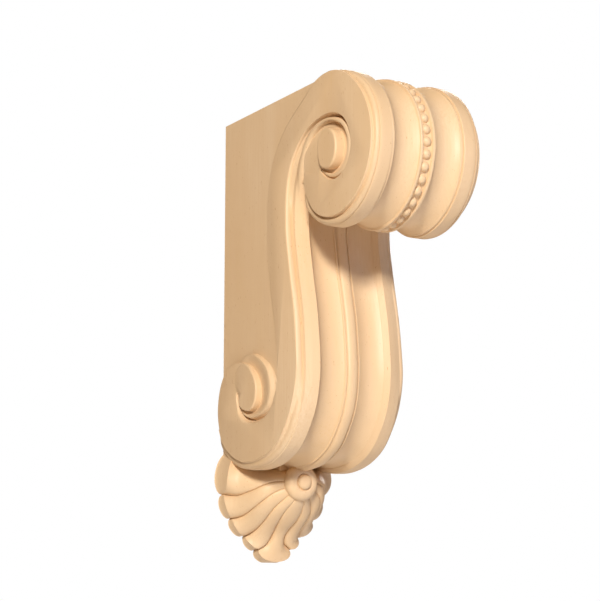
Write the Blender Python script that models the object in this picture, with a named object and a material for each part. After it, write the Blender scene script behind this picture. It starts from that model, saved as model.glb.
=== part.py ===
"""Carved scroll corbel, cut from one block of pale hardwood.

Metres, +Z up. X runs across the corbel, the wall is the plane y = 0 and the roll reaches towards -Y. The
origin is on the flat back face, half way up. Side outlines are drawn in the YZ plane: each volute is a
spiral whose radii are given at quarter turns, and the long S between them is a smooth curve.
"""

import bmesh
import bpy
import numpy as np

# Overall size
HEIGHT = 0.3048
PROJECTION = 0.1905
WIDTH = 0.0889

# Half widths of the levels on each side
SLAB_HALF = 0.0370
FACE_HALF = 0.0415

# Moulding across the front, half of it, from the middle outwards
PEARL_CHANNEL_HALF = 0.0034
PEARL_CHANNEL_DEPTH = 0.0026
FILLET_HALF = 0.0053
FILLET_DROP = 0.0006
COVE_INNER = 0.0059
COVE_INNER_DROP = 0.0024
COVE_OUTER = 0.0253
COVE_OUTER_DROP = 0.0016
COVE_SAG = 0.0034
BAND_INNER = 0.0274
BAND_OUTER = 0.0365
BAND_FALL = 0.0005
EDGE_DROP = 0.0052
MIDDLE_CROWN = 0.0022
SKIN = 0.0140
LAP = 0.0025

# Upper roll: its centre below the top, then band radii at the top, front, underside and back of the roll
ROLL_DROP = 0.0544
ROLL_TOP = 0.0549
ROLL_FRONT = 0.0495
ROLL_UNDER = 0.0455
ROLL_BACK = 0.0510
ROLL_NOSE = 0.0465

# Upper volute, radii at quarter turns from the top: edge of the face under the roll, then both edges of
# the moulded channel that winds from the neck over the eye to its tip underneath
ARM = ((2.0, 0.0395), (2.4, 0.0362), (2.6, 0.0325), (2.85, 0.0296))
UPPER_OUTER = (
    (-1.40, 0.0620), (-1.18, 0.0548), (-0.95, 0.0465), (-0.63, 0.0357),
    (-0.21, 0.0290), (0.06, 0.0267), (1.0, 0.0243), (2.0, 0.0172), (2.6, 0.0131),
)
UPPER_INNER = (
    (-1.40, 0.0330), (-1.15, 0.0296), (-0.86, 0.0238), (-0.60, 0.0204),
    (-0.20, 0.0170), (0.1, 0.0145), (1.0, 0.0100), (2.0, 0.0098), (2.6, 0.0118),
)
UPPER_EYE = (0.0153, 0.0108, 0.0104, 0.0125)

# Lower volute: centre from the wall and above the lowest line of the scroll, the spiral of its face edge,
# where the rim leaves the slab above it, and both edges of its channel
VOLUTE_FROM_WALL = 0.0350
VOLUTE_RISE = 0.0504
VOLUTE_RADIUS = 0.0660
VOLUTE_SHRINK = 0.72
RIM = ((3.75, 0.0230), (4.0, 0.0262), (4.3, 0.0300), (4.7, 0.0362), (5.0, 0.0395), (5.15, 0.0415))
LOWER_OUTER = (
    (-0.25, 0.0250), (0.0, 0.0270), (0.3, 0.0305), (0.7, 0.0368), (1.0, 0.0410),
    (1.24, 0.0395), (1.45, 0.0325), (1.83, 0.0243), (2.12, 0.0192), (2.45, 0.0122),
)
LOWER_INNER = (
    (-0.25, 0.0215), (0.0, 0.0180), (0.5, 0.0165), (1.0, 0.0155),
    (1.7, 0.0138), (2.1, 0.0120), (2.45, 0.0108),
)
LOWER_EYE = (0.0190, 0.0162, 0.0128, 0.0110)

# Long S: how far its front and the ribbon's back edge stand from the wall
NECK_FRONT = 0.0923
NECK_RISE = 0.0573
BELLY_FRONT = 0.1056
BELLY_RISE = -0.0300
HEEL_FRONT = 0.0870
HEEL_RISE = -0.0770
TOE_RISE = -0.0850
RIBBON_NECK = 0.0650
RIBBON_BELLY = 0.0783
RIBBON_TOP = 0.1200

# Pearls
PEARL_RADIUS = 0.0034
PEARL_SINK = 0.0008
PEARL_PITCH = 0.0078

# Shell under the scroll: rosette on its axis, then for each groove from the rosette to the rim its radius
# round the axis, distance from the wall and angle from straight down
ROSETTE_FRONT = 0.0450
ROSETTE_RISE = -0.1010
ROSETTE_RADIUS = 0.0108
NUB_RADIUS = 0.0042
SHELL_GROOVES = (
    (
        (0.0090, 0.0406, 18), (0.0170, 0.0340, 20), (0.0210, 0.0292, 19), (0.0250, 0.0234, 15.2),
        (0.0290, 0.0165, 10.8), (0.0330, 0.0115, 8.4), (0.0380, 0.0077, 9.2), (0.0421, 0.0058, 15.0),
    ),
    (
        (0.0090, 0.0400, 47), (0.0170, 0.0340, 44), (0.0210, 0.0308, 42.4), (0.0250, 0.0263, 38.4),
        (0.0290, 0.0196, 33.5), (0.0330, 0.0120, 30.6), (0.0366, 0.0050, 30.6), (0.0386, 0.0012, 32.2),
    ),
    (
        (0.0090, 0.0400, 75), (0.0170, 0.0354, 71.5), (0.0210, 0.0332, 68.2), (0.0250, 0.0294, 63.8),
        (0.0290, 0.0228, 58.6), (0.0330, 0.0132, 53.6), (0.0355, 0.0072, 53.3), (0.0378, 0.0029, 54.8),
    ),
    (
        (0.0090, 0.0404, 99.3), (0.0170, 0.0354, 93.7), (0.0210, 0.0330, 90.2), (0.0250, 0.0292, 85.2),
        (0.0290, 0.0226, 80.4), (0.0330, 0.0134, 77.5), (0.0355, 0.0076, 78.6), (0.0378, 0.0029, 80.4),
    ),
    (
        (0.0090, 0.0380, 142), (0.0170, 0.0260, 127), (0.0210, 0.0200, 123), (0.0250, 0.0150, 121),
        (0.0290, 0.0110, 121), (0.0330, 0.0070, 122), (0.0355, 0.0040, 124), (0.0378, 0.0015, 127),
    ),
)
LOBE_OUT = np.array([0.0, 0.0004, 0.0007, 0.0010, 0.0014, 0.0020, 0.0028, 0.0033])
LOBE_UP = np.array([0.0008, 0.0014, 0.0017, 0.0020, 0.0023, 0.0029, 0.0039, 0.0050])
LOBE_REACH = (0.0519, 0.0443, 0.0420, 0.0414, 0.0420)

TOP = HEIGHT / 2
BOTTOM = -HEIGHT / 2
ROLL_CENTRE = np.array([-(PROJECTION - ROLL_FRONT), TOP - ROLL_DROP])
SCROLL_FOOT = BOTTOM + 0.0600
VOLUTE_CENTRE = np.array([-VOLUTE_FROM_WALL, SCROLL_FOOT + VOLUTE_RISE])


def smooth(knots, values, at):
    """Values at any place on a smooth curve through knots, as a Catmull-Rom spline."""
    knots, values, at = np.asarray(knots), np.asarray(values), np.asarray(at)
    slopes = np.gradient(values, knots, axis=0)
    i = np.clip(np.searchsorted(knots, at, side="right") - 1, 0, len(knots) - 2)
    span = knots[i + 1] - knots[i]
    t = (at - knots[i]) / span
    if values.ndim > 1:
        t, span = t[:, None], span[:, None]
    return (
        (2 * t**3 - 3 * t**2 + 1) * values[i]
        + (t**3 - 2 * t**2 + t) * span * slopes[i]
        + (3 * t**2 - 2 * t**3) * values[i + 1]
        + (t**3 - t**2) * span * slopes[i + 1]
    )


def turn(centre, quarter, radius):
    """Points around a centre in YZ; quarter 0 is the top, 1 the front, 2 the underside, 3 the back."""
    angle = np.asarray(quarter) * np.pi / 2
    return centre + np.stack([-np.sin(angle), np.cos(angle)], -1) * np.asarray(radius)[:, None]


def roll_band(q):
    """Outline of the roll at band level."""
    r = smooth([-0.6, 0, 1, 2, 2.8], [ROLL_NOSE, ROLL_TOP, ROLL_FRONT, ROLL_UNDER, ROLL_BACK], q)
    return turn(ROLL_CENTRE, q, r)


def winding(centre, table, q):
    """A spiral through radii that a table gives at quarter turns."""
    at, radii = zip(*table)
    return turn(centre, q, smooth(at, radii, q))


def long_front(t):
    """Outline of the long S at band level, from inside the roll at t = 0 down to the wall at t = 6."""
    points = [
        (-NECK_FRONT - 0.004, NECK_RISE + 0.040),
        (-NECK_FRONT, NECK_RISE),
        (-(NECK_FRONT + BELLY_FRONT) / 2, (NECK_RISE + BELLY_RISE) / 2),
        (-BELLY_FRONT, BELLY_RISE),
        (-HEEL_FRONT, HEEL_RISE),
        (VOLUTE_CENTRE[0] - 0.010, SCROLL_FOOT),
        (0.010, TOE_RISE),
    ]
    return smooth(range(7), points, t)


def face_edge_lower(q):
    """Outer edge of the flat side face on the lower volute, a spiral that shrinks evenly."""
    return turn(VOLUTE_CENTRE, q, VOLUTE_RADIUS * VOLUTE_SHRINK ** (np.asarray(q) - 1))


def ribbon_back(t):
    """Back edge of the ribbon, from the top of the slab down to the lower volute."""
    points = [
        (-RIBBON_TOP, TOP + 0.001),
        (-RIBBON_TOP + 0.036, TOP - 0.0205),
        (-RIBBON_NECK - 0.0067, NECK_RISE + 0.0545),
        (-RIBBON_NECK, NECK_RISE + 0.0150),
        (-(RIBBON_NECK + RIBBON_BELLY) / 2, (NECK_RISE + BELLY_RISE) / 2 + 0.005),
        (-RIBBON_BELLY, BELLY_RISE),
        (-RIBBON_BELLY, BELLY_RISE - 0.012),
    ]
    return smooth(range(7), points, t)


def edge_growth(q):
    """How far the edge moulding of the roll is developed: it starts at the top and ends underneath."""
    return smooth([-0.6, 0, 0.5, 2, 2.8], [0.2, 0.3, 1, 1, 1], q)


def half_profile(middle):
    """Moulding across the front, from the middle to the side face: half width and drop of each point."""
    cove = np.linspace(0, 1, 6)[1:-1]
    cove_drop = COVE_INNER_DROP + (COVE_OUTER_DROP - COVE_INNER_DROP) * cove
    points = list(middle)
    points += [(FILLET_HALF, FILLET_DROP), (COVE_INNER, COVE_INNER_DROP)]
    points += [
        (COVE_INNER + (COVE_OUTER - COVE_INNER) * w, d + COVE_SAG * 4 * w * (1 - w))
        for w, d in zip(cove, cove_drop)
    ]
    points += [(COVE_OUTER, COVE_OUTER_DROP), (BAND_INNER - 0.0004, COVE_OUTER_DROP - 0.0006)]
    points += [(BAND_INNER, 0.0), (BAND_OUTER, BAND_FALL)]
    width = FACE_HALF - BAND_OUTER
    shares = [(0.10, 0.30), (0.45, 0.55), (0.80, 0.62), (1.0, 1.0)]
    points += [(BAND_OUTER + width * a, BAND_FALL + (EDGE_DROP - BAND_FALL) * b) for a, b in shares]
    return np.array(points)


def mesh_object(name, vertices, faces):
    """A mesh object from vertices and faces, with all normals pointing out."""
    mesh = bpy.data.meshes.new(name)
    mesh.from_pydata([tuple(v) for v in vertices], [], faces)
    bm = bmesh.new()
    bm.from_mesh(mesh)
    bmesh.ops.remove_doubles(bm, verts=bm.verts, dist=0.00002)
    bmesh.ops.recalc_face_normals(bm, faces=bm.faces)
    bm.to_mesh(mesh)
    bm.free()
    made = bpy.data.objects.new(name, mesh)
    bpy.context.collection.objects.link(made)
    return made


def tube(name, rings):
    """A closed solid from rings of equal length, skinned in order and capped at both ends."""
    count, size = len(rings), len(rings[0])
    faces = [list(range(size))]
    faces += [
        (i * size + j, i * size + (j + 1) % size, (i + 1) * size + (j + 1) % size, (i + 1) * size + j)
        for i in range(count - 1)
        for j in range(size)
    ]
    faces.append([(count - 1) * size + j for j in range(size)])
    return mesh_object(name, np.concatenate(rings), faces)


def prism(name, outline, half):
    """An outline in YZ, extruded from -half to half along X."""
    left = [(-half, y, z) for y, z in outline]
    right = [(half, y, z) for y, z in outline]
    return tube(name, [left, right])


def outward(path):
    """Unit normals of a path in YZ that runs down the front of the corbel, pointing out of the wood."""
    step = np.gradient(path, axis=0)
    return np.stack([step[:, 1], -step[:, 0]], 1) / np.linalg.norm(step, axis=1)[:, None]


def swept_front(name, path, middle, growth, depth):
    """The front moulding carried along a path in YZ, as a solid as thick as depth."""
    half = half_profile(middle)
    full = np.concatenate([half[::-1] * [-1, 1], half[half[:, 0] > 0]])
    rings = []
    for place, out, grown in zip(path, outward(path), growth):
        drop = full[:, 1].copy()
        side = np.abs(full[:, 0]) > BAND_OUTER + 0.0001
        drop[side] *= grown
        at = place - drop[:, None] * out
        inner = place - depth * out
        ring = [(x, y, z) for x, (y, z) in zip(full[:, 0], at)]
        ring += [(FACE_HALF, *inner), (-FACE_HALF, *inner)]
        rings.append(ring)
    return tube(name, rings)


def roll():
    """The upper roll, whose middle is a sunk channel for the pearls."""
    q = np.concatenate([np.linspace(-0.5, -0.08, 3), np.linspace(0, 2.75, 26)])
    path = roll_band(q)
    middle = [(0, PEARL_CHANNEL_DEPTH), (PEARL_CHANNEL_HALF, PEARL_CHANNEL_DEPTH)]
    middle.append((PEARL_CHANNEL_HALF + 0.0002, FILLET_DROP))
    return swept_front("roll", path, middle, edge_growth(q), SKIN)


def long_s():
    """The front of the long S, whose middle is a low half round."""
    t = np.linspace(0, 6, 31)
    middle = [(0, FILLET_DROP - MIDDLE_CROWN / 2), (0.0018, FILLET_DROP - MIDDLE_CROWN / 4)]
    middle.append((PEARL_CHANNEL_HALF, FILLET_DROP + MIDDLE_CROWN / 2))
    growth = 1 + 1.3 * np.clip(t - 5, 0, 1) ** 2
    return swept_front("long_s", long_front(t), middle, growth, SKIN)


def slab():
    """The plain slab between wall and scroll, up to the flat top."""
    path = long_front(np.linspace(0.9, 5.9, 22))
    front = path - outward(path) * (SKIN - LAP)
    neck = turn(ROLL_CENTRE, np.array([2.0, 2.4]), [ROLL_UNDER - LAP] * 2)
    back, over = 0.006, TOP + 0.002
    outline = [(back, front[-1, 1]), (back, over), (ROLL_CENTRE[0], over), *neck]
    outline += [tuple(p) for p in front if p[0] < -LAP]
    return prism("slab", outline, SLAB_HALF)


def ribbon():
    """The raised flat face on each side: ribbon, roll and lower volute in one outline."""
    q = np.linspace(0, 1.85, 20)
    band = roll_band(q)
    out = (band - ROLL_CENTRE) / np.linalg.norm(band - ROLL_CENTRE, axis=1)[:, None]
    face = band - out * (EDGE_DROP * edge_growth(q) + LAP)[:, None]
    arm = winding(ROLL_CENTRE, ARM, np.linspace(2, 2.7, 8))
    front = long_front(np.linspace(0.55, 3.2, 14)) + [EDGE_DROP + LAP, 0]
    lower = face_edge_lower(np.linspace(1.15, 3.7, 24))
    rim = winding(VOLUTE_CENTRE, RIM, np.linspace(3.75, 5.1, 14))
    back = ribbon_back(np.linspace(5.9, 0, 26))
    return prism("ribbon", np.concatenate([face, arm, front, lower, rim, back]), FACE_HALF)


def channel(name, inner, outer, depth, side):
    """A cutter for the moulded channel round an eye: rib, hollow, rib and groove between two curves."""
    clear = FACE_HALF + 0.006
    shares = [(0, 0.0003), (0.16, 0.0007), (0.38, 0.0029), (0.56, 0.0010), (0.72, 0.0014)]
    shares += [(0.84, 0.0039), (1, 0.0039)]
    rings = []
    for a, b, deep in zip(inner, outer, depth):
        cut = [(FACE_HALF - deep * drop + 0.0004 * (1 - deep), w) for w, drop in shares]
        ring = [(clear, 0), *cut, (clear, 1)]
        rings.append([(side * x, *(a + (b - a) * w)) for x, w in ring])
    return tube(name, rings)


def upper_channel(side):
    """The channel round the upper eye, from the neck to its tip under the eye."""
    q = np.linspace(-1.40, 2.55, 32)
    depth = np.clip((q + 1.45) / 0.25, 0, 1)
    inner, outer = winding(ROLL_CENTRE, UPPER_INNER, q), winding(ROLL_CENTRE, UPPER_OUTER, q)
    return channel("upper_channel", inner, outer, depth, side)


def lower_channel(side):
    """The channel round the lower eye, from the top of the volute to its tip under the eye."""
    q = np.linspace(-0.19, 2.43, 24)
    depth = np.clip((q + 0.35) / 0.35, 0, 1)
    inner, outer = winding(VOLUTE_CENTRE, LOWER_INNER, q), winding(VOLUTE_CENTRE, LOWER_OUTER, q)
    return channel("lower_channel", inner, outer, depth, side)


def eye(name, centre, radii, side):
    """The proud flat eye of a volute, which sinks to the face level at its back."""
    q = np.arange(20) / 5
    r = smooth([-1, 0, 1, 2, 3, 4], [radii[3], *radii, radii[0]], q)
    proud = WIDTH / 2 - FACE_HALF
    rise = proud * np.interp(q, [0, 0.3, 2.1, 2.9, 3.2, 4], [0.7, 1, 1, -0.1, -0.1, 0.7])
    base = [(side * 0.030, *p) for p in turn(centre, q, r)]
    top = [(side * (FACE_HALF + h), *p) for h, p in zip(rise, turn(centre, q, r * 0.9))]
    edge = [(side * (FACE_HALF + h - 0.0008), *p) for h, p in zip(rise, turn(centre, q, r))]
    vertices = np.concatenate([base, edge, top, [(side * WIDTH / 2, *centre)]])
    n = len(q)
    faces = [list(range(n))]
    for i in range(n):
        j = (i + 1) % n
        faces += [(i, j, n + j, n + i), (n + i, n + j, 2 * n + j, 2 * n + i), (2 * n + i, 2 * n + j, 3 * n)]
    return mesh_object(name, vertices, faces)


def shell_ring(r, front, angle):
    """One ring of the shell, from its axis along a line of the surface to the wall and back."""
    r = np.append(r, [r[-1] + 0.07 * front[-1], r[-1] + 0.12 * front[-1]])
    y = -np.append(front, [0.35 * front[-1], 0])
    angle = np.append(angle, [angle[-1], angle[-1]])
    x, z = -r * np.sin(angle), ROSETTE_RISE - r * np.cos(angle)
    return [(0, 0.004, ROSETTE_RISE), (0, -0.0425, ROSETTE_RISE), *zip(x, y, z), (x[-1], 0.004, z[-1])]


def shell():
    """The shell: lobes that swell between curved grooves and turn down to the wall in round ends."""
    lines = [np.array(groove) for groove in SHELL_GROOVES]
    lines = [line * [1, 1, -1] for line in lines[::-1]] + lines
    rim = np.clip((np.arange(8) - 3.5) / 3.5, 0, 1) ** 3
    r, front, _ = lines[-1].T
    rings = [shell_ring(r, 0.8 * front, np.full(8, -2.85))]
    for k, (start, end) in enumerate(zip(lines[:-1], lines[1:])):
        lobe = abs(k - 4)
        far = LOBE_REACH[lobe] - (start[-1, 0] + end[-1, 0]) / 2 - LOBE_OUT[-1]
        for share in (0, 0.08, 0.3, 0.7, 0.92) if k < 8 else (0, 0.08, 0.3, 0.7, 0.92, 1):
            full = (1 - abs(2 * share - 1) ** 2.3) ** 0.55
            r, front, angle = (start + (end - start) * share).T
            angle = np.radians(angle) * np.where(np.arange(8) == 7, 1 + 0.32 * (lobe == 0) * full, 1)
            r = r + full * (LOBE_OUT + far * rim)
            front = front + full * LOBE_UP * (2.6 if lobe == 4 else 1) * (0.75 if lobe == 0 else 1)
            rings.append(shell_ring(r, front, angle))
    r, front, _ = lines[-1].T
    rings.append(shell_ring(r, 0.8 * front, np.full(8, 2.85)))
    return tube("shell", rings)


def shell_neck():
    """The plain neck that joins shell and scroll."""
    outline = [(0.005, -0.1050), (0.005, -0.078), (-0.038, -0.078), (-0.034, -0.0985), (-0.020, -0.1050)]
    return prism("neck", outline, 0.026)


def rosette():
    """The round rosette with its nub, turned about an axis square to the wall."""
    front, r = ROSETTE_FRONT, ROSETTE_RADIUS
    profile = [
        (r * 0.90, front - 0.024), (r, front - 0.006),
        (r * 0.97, front - 0.0040), (r * 0.80, front - 0.0022),
        (NUB_RADIUS + 0.0006, front - 0.0016), (NUB_RADIUS, front - 0.0004), (NUB_RADIUS * 0.5, front),
    ]
    angle = np.arange(24) / 24 * 2 * np.pi
    rings = [[(a * np.cos(t), -y, ROSETTE_RISE + a * np.sin(t)) for t in angle] for a, y in profile]
    return tube("rosette", rings)


def pearls():
    """Places of the pearls along the roll, a pitch apart, as (y, z)."""
    q = np.linspace(0.02, 2.5, 400)
    path = roll_band(q)
    path = path - outward(path) * (PEARL_RADIUS + PEARL_SINK)
    run = np.concatenate([[0], np.cumsum(np.linalg.norm(np.diff(path, axis=0), axis=1))])
    at = np.arange(PEARL_PITCH / 2, run[-1], PEARL_PITCH)
    return np.stack([np.interp(at, run, path[:, 0]), np.interp(at, run, path[:, 1])], 1)


def pearl(y, z):
    """One pearl, a small faceted ball."""
    mesh = bpy.data.meshes.new("pearl")
    bm = bmesh.new()
    bmesh.ops.create_icosphere(bm, subdivisions=1, radius=PEARL_RADIUS)
    bmesh.ops.translate(bm, verts=bm.verts, vec=(0, y, z))
    bm.to_mesh(mesh)
    bm.free()
    made = bpy.data.objects.new("pearl", mesh)
    bpy.context.collection.objects.link(made)
    return made


def combine(target, tool, operation):
    """Joins or cuts target with tool, exactly, and removes the tool."""
    change = target.modifiers.new("combine", "BOOLEAN")
    change.operation = operation
    change.solver = "EXACT"
    change.object = tool
    bpy.context.view_layer.update()
    evaluated = target.evaluated_get(bpy.context.evaluated_depsgraph_get())
    mesh = bpy.data.meshes.new_from_object(evaluated)
    target.modifiers.clear()
    target.data = mesh
    bpy.data.objects.remove(tool)


def wood():
    """Unfinished pale hardwood."""
    material = bpy.data.materials.new("hardwood")
    material.use_nodes = True
    shader = material.node_tree.nodes["Principled BSDF"]
    shader.inputs["Base Color"].default_value = (0.75, 0.50, 0.27, 1)
    shader.inputs["Roughness"].default_value = 0.5
    shader.inputs["Metallic"].default_value = 0.0
    return material


def main():
    for old in list(bpy.data.objects):
        bpy.data.objects.remove(old)
    corbel = ribbon()
    corbel.name = "corbel"
    for part in (slab(), long_s(), roll()):
        combine(corbel, part, "UNION")
    for side in (-1, 1):
        combine(corbel, eye("upper_eye", ROLL_CENTRE, UPPER_EYE, side), "UNION")
        combine(corbel, eye("lower_eye", VOLUTE_CENTRE, LOWER_EYE, side), "UNION")
        combine(corbel, upper_channel(side), "DIFFERENCE")
        combine(corbel, lower_channel(side), "DIFFERENCE")
    for part in (shell_neck(), shell(), rosette()):
        combine(corbel, part, "UNION")
    block = [(0, BOTTOM), (0, TOP), (-PROJECTION - 0.01, TOP), (-PROJECTION - 0.01, BOTTOM)]
    combine(corbel, prism("block", block, WIDTH), "INTERSECT")
    for y, z in pearls():
        combine(corbel, pearl(y, z), "UNION")
    corbel.data.materials.clear()
    corbel.data.materials.append(wood())
    corbel.data.set_sharp_from_angle(angle=0.7)


main()
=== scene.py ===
"""Looks of a carved scroll corbel: moulded S scroll, pearled roll, side volutes and a shell at the foot.

Shapes are worked out in millimetres in the frame of the solid part: X across, -Y away from the wall, Z up,
origin on the back face at half height. Side outlines lie in the YZ plane.
"""

import math

import bmesh
import bpy
import numpy as np
from bpy.props import FloatProperty, FloatVectorProperty, PointerProperty
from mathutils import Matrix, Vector


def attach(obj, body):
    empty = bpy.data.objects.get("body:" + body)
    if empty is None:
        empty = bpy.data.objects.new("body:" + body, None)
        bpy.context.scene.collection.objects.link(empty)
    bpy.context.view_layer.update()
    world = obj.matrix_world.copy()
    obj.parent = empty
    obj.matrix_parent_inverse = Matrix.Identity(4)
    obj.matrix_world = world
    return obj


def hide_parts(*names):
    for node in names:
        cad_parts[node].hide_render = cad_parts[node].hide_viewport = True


bl_info = {
    "name": "Carved scroll corbel",
    "version": (1, 0, 0),
    "blender": (4, 5, 0),
    "location": "View3D > Sidebar > Corbel",
    "description": "Builds the looks of a carved scroll corbel round its solid part",
    "category": "Add Mesh",
}

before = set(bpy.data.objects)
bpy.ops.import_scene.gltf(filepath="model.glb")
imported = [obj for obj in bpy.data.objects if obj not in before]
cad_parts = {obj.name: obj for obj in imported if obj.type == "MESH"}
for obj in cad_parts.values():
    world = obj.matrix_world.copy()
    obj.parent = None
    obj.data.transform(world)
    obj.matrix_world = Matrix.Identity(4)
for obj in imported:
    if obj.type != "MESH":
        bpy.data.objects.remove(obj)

# Levels across the width, in mm from the middle
SLAB = 37.0
FACE = 41.5
PROUD = 44.45
# Levels of the hidden undersides of the carved channels and of the side plates
CHANNEL_BACK = 24.0
PLATE_BACK = 30.0

# Ends of the corbel's height and projection, and the centres of its two volutes as (y, z), in mm
TOP = 152.4
FRONT = -190.54
UPPER = np.array([-141.0, 98.0])
LOWER = np.array([-35.0, -42.0])

# Heights of the axes of the shell and of its rosette, in mm
SHELL_Z = -101.0
ROSETTE_Z = -100.0

MM = 0.001

# Radii in mm at quarter turns from the top of a volute
ROLL_BAND = ((0.0, 54.4), (1.0, 49.5), (2.0, 45.5), (2.3, 44.0), (2.55, 42.2), (2.66, 39.2), (2.75, 35.0))
ROLL_FACE = (
    (0.0, 54.2), (0.12, 53.0), (0.25, 51.2), (0.4, 49.0), (0.6, 47.6), (0.86, 46.9), (1.1, 46.2),
    (1.34, 45.0), (1.61, 43.0), (1.86, 41.4), (2.1, 39.8), (2.3, 38.0), (2.5, 35.2), (2.7, 32.9),
    (2.87, 30.4),
)
UPPER_OUT = (
    (-1.2, 55.5), (-1.12, 52.6), (-1.03, 49.8), (-0.94, 47.0), (-0.86, 44.0), (-0.76, 40.5), (-0.61, 36.2),
    (-0.45, 32.2), (-0.25, 28.8), (-0.07, 27.2), (0.1, 26.4), (0.42, 25.7), (0.76, 24.8), (1.0, 24.2),
    (1.26, 22.9), (1.52, 21.2), (1.68, 19.9), (1.89, 17.8), (2.14, 15.3), (2.4, 13.7), (2.6, 13.0),
)
RIB_OUT = (
    (-1.2, 45.6), (-1.06, 41.7), (-0.95, 39.5), (-0.82, 37.2), (-0.73, 35.6), (-0.6, 33.5), (-0.46, 30.6),
    (-0.32, 28.0), (-0.17, 25.8), (-0.04, 24.4), (0.1, 23.3), (0.5, 22.7), (1.0, 22.3), (1.5, 19.5),
    (2.0, 15.0), (2.3, 13.2), (2.6, 12.6),
)
RIB_IN = (
    (-1.2, 37.8), (-1.09, 35.5), (-0.96, 33.2), (-0.82, 31.0), (-0.68, 29.0), (-0.52, 27.0), (-0.38, 25.2),
    (-0.21, 23.2), (-0.03, 21.4), (0.13, 20.2), (0.5, 19.0), (1.0, 17.4), (1.5, 15.2), (2.0, 12.2),
    (2.3, 11.2), (2.6, 12.0),
)
UPPER_EYE = (
    (-1.57, 9.7), (-1.13, 8.9), (-0.71, 10.8), (-0.46, 13.6), (-0.25, 15.6), (0.0, 16.0), (0.3, 15.4),
    (0.65, 13.3), (0.95, 11.9), (1.27, 11.5), (1.6, 11.2), (2.0, 9.9), (2.43, 9.7),
)
VOLUTE_FACE = ((1.0, 66.0), (2.0, 45.3), (2.5, 40.3), (3.0, 33.8), (3.37, 29.8), (3.75, 23.2), (4.0, 20.2))
LOWER_OUT = (
    (-0.35, 25.0), (0.0, 27.0), (0.29, 28.9), (0.5, 30.8), (0.66, 33.8), (0.81, 36.8), (0.92, 38.6),
    (1.02, 39.6), (1.14, 39.1), (1.24, 37.9), (1.34, 34.4), (1.51, 27.5), (1.74, 21.7), (2.01, 17.1),
    (2.29, 13.3), (2.6, 10.6), (3.0, 9.0), (3.4, 7.6),
)
LOWER_IN = (
    (-0.35, 20.9), (0.0, 20.0), (0.5, 18.1), (1.0, 18.1), (1.26, 18.1), (1.46, 16.8), (1.62, 15.0),
    (1.87, 11.8), (2.15, 9.7), (2.46, 7.6), (3.0, 6.2), (3.4, 6.2),
)

# Side outlines as (y, z) in mm: front of the long S at its band and back edge of the flat ribbon
S_BAND = (
    (-94.5, 97.0), (-92.6, 80.0), (-92.2, 65.0), (-92.8, 55.0), (-95.1, 41.2), (-97.8, 27.3), (-100.8, 13.5),
    (-103.1, 0.0), (-104.6, -16.0), (-105.3, -34.0), (-102.6, -52.0), (-96.0, -66.0), (-84.5, -79.8),
    (-69.0, -88.4), (-53.0, -92.0), (-38.7, -92.6), (-25.5, -91.0), (-14.5, -87.2), (-5.6, -82.0),
    (0.6, -75.4), (5.0, -67.0),
)
RIBBON_BACK = (
    (-140.0, 152.2), (-133.0, 151.9), (-125.0, 150.2), (-115.0, 146.4), (-100.0, 138.8), (-84.4, 127.5),
    (-72.8, 110.0), (-66.6, 90.0), (-65.0, 66.9), (-66.5, 46.1), (-70.2, 24.0), (-74.6, 4.0),
    (-77.8, -15.0), (-78.6, -32.0), (-77.0, -44.0),
)

# Shell: along each groove from the rosette to the rim, its radius round the rosette's axis, height over the
# wall and angle from straight down
SHELL_GROOVES = (
    (
        (9.0, 40.6, 18.0), (13.0, 38.0, 19.3), (17.0, 34.0, 20.0), (21.0, 29.2, 19.0), (25.0, 23.4, 15.2),
        (29.0, 16.5, 10.8), (33.0, 11.5, 8.6), (38.0, 7.7, 9.6), (42.1, 5.8, 15.0),
    ),
    (
        (9.0, 40.0, 47.0), (13.0, 37.4, 45.5), (17.0, 34.0, 44.0), (21.0, 30.8, 42.4), (25.0, 26.3, 38.4),
        (29.0, 19.6, 33.5), (33.0, 12.0, 30.6), (36.6, 5.0, 30.6), (38.6, 1.0, 32.2),
    ),
    (
        (9.0, 40.0, 75.0), (13.0, 37.6, 73.5), (17.0, 35.4, 71.5), (21.0, 33.2, 68.2), (25.0, 29.4, 63.8),
        (29.0, 22.8, 58.6), (33.0, 13.2, 53.6), (35.5, 7.2, 53.3), (37.8, 2.9, 54.8),
    ),
    (
        (9.0, 40.4, 99.3), (13.0, 37.9, 96.7), (17.0, 35.4, 93.7), (21.0, 33.0, 90.2), (25.0, 29.2, 85.2),
        (29.0, 22.6, 80.4), (33.0, 13.4, 77.5), (35.5, 7.6, 78.6), (37.8, 2.9, 80.4),
    ),
    (
        (9.0, 38.0, 142.0), (13.0, 33.0, 134.0), (17.0, 26.0, 127.0), (21.0, 20.0, 123.0),
        (25.0, 15.0, 121.0), (29.0, 11.0, 121.0), (33.0, 7.0, 122.0), (35.5, 4.0, 124.0), (37.8, 1.5, 127.0),
    ),
)

# Swell of a lobe between its grooves at each step along them, as (outwards, over the wall), and the radius
# that each lobe reaches at the rim, from the middle one to the last
LOBE_LIFT = (
    (0.0, 0.8), (0.2, 1.1), (0.4, 1.4), (0.7, 1.7), (1.0, 2.0), (1.4, 2.3), (2.0, 2.9), (2.8, 3.9),
    (3.3, 5.0),
)
LOBE_REACH = (51.0, 44.3, 42.0, 41.4, 42.0)
# Points down the round end of a lobe
ROUND_END = 9

# Half section of the rosette as (radius, height over the wall)
ROSETTE_SECTION = (
    (9.8, 21.0), (11.0, 36.0), (11.9, 39.0), (12.2, 41.0), (11.9, 42.8), (10.8, 44.4), (9.2, 45.5),
    (7.4, 46.0), (6.0, 45.9), (5.3, 45.3), (5.1, 45.8), (4.9, 46.8), (4.3, 47.8), (3.0, 48.6),
    (1.5, 49.0), (0.2, 49.1),
)

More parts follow.
